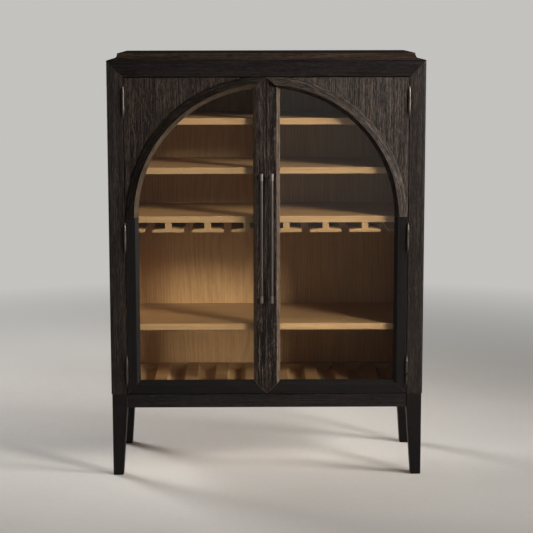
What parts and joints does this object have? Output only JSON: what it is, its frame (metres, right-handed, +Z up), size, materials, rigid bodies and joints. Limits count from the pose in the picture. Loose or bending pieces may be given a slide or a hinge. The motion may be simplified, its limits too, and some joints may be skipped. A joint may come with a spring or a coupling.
{
  "type": "arched bar cabinet",
  "caption": "Tall bar cabinet in dark oak: glazed doors that meet under a round arch, natural oak shelves, stemware rack and bottle cradle, on tapered legs.",
  "frame": {"origin": "on the floor, under the middle of the cabinet's overall box", "axes": "+Z up, the doors face -Y, +X is to the right of someone who faces the doors"},
  "size_m": [1.22, 0.5446, 1.6543],
  "materials": {
    "dark_oak": "wire-brushed oak with a near-black brown stain",
    "natural_oak": "clear satin oak",
    "gunmetal": "satin gunmetal",
    "glass": "clear",
    "catch_body": "moulded"
  },
  "bodies": {
    "case": {"leg_front_left": "dark_oak", "leg_front_right": "dark_oak", "leg_rear_left": "dark_oak", "leg_rear_right": "dark_oak", "apron_front": "dark_oak", "apron_rear": "dark_oak", "apron_left": "dark_oak", "apron_right": "dark_oak", "side_left": "dark_oak", "side_right": "dark_oak", "top_panel": "dark_oak", "top_cap": "dark_oak", "bottom_panel": "natural_oak", "back_panel": "natural_oak", "lining_left": "natural_oak", "lining_right": "natural_oak", "lining_top": "natural_oak", "shelf_top": "natural_oak", "shelf_upper": "natural_oak", "shelf_stemware": "natural_oak", "shelf_lower": "natural_oak", "stemware_rail_1": "natural_oak", "stemware_rail_2": "natural_oak", "stemware_rail_3": "natural_oak", "stemware_rail_4": "natural_oak", "stemware_rail_5": "natural_oak", "stemware_rail_6": "natural_oak", "stemware_end_rail_left": "natural_oak", "stemware_end_rail_right": "natural_oak", "bottle_cradle": "natural_oak", "catch_left": "catch_body", "catch_right": "catch_body", "left_hinge_top_case_leaf": "gunmetal", "left_hinge_middle_case_leaf": "gunmetal", "left_hinge_bottom_case_leaf": "gunmetal", "right_hinge_top_case_leaf": "gunmetal", "right_hinge_middle_case_leaf": "gunmetal", "right_hinge_bottom_case_leaf": "gunmetal"},
    "left_door": {"left_hinge_stile": "dark_oak", "left_meeting_stile": "dark_oak", "left_bottom_rail": "dark_oak", "left_arch": "dark_oak", "left_spandrel": "dark_oak", "left_glass_stop": "dark_oak", "left_glass": "glass", "left_handle": "gunmetal", "left_hinge_top_door_leaf": "gunmetal", "left_hinge_middle_door_leaf": "gunmetal", "left_hinge_bottom_door_leaf": "gunmetal"},
    "right_door": {"right_hinge_stile": "dark_oak", "right_meeting_stile": "dark_oak", "right_bottom_rail": "dark_oak", "right_arch": "dark_oak", "right_spandrel": "dark_oak", "right_glass_stop": "dark_oak", "right_glass": "glass", "right_handle": "gunmetal", "right_hinge_top_door_leaf": "gunmetal", "right_hinge_middle_door_leaf": "gunmetal", "right_hinge_bottom_door_leaf": "gunmetal"}
  },
  "joints": [
    {"name": "left_door_hinge", "type": "hinge", "parent": "case", "child": "left_door", "pos_m": [-0.5465, -0.2403, 0.3305], "axis": [0, 0, -1], "range_deg": [0, 170]},
    {"name": "right_door_hinge", "type": "hinge", "parent": "case", "child": "right_door", "pos_m": [0.5465, -0.2403, 0.3305], "axis": [0, 0, 1], "range_deg": [0, 170]}
  ]
}
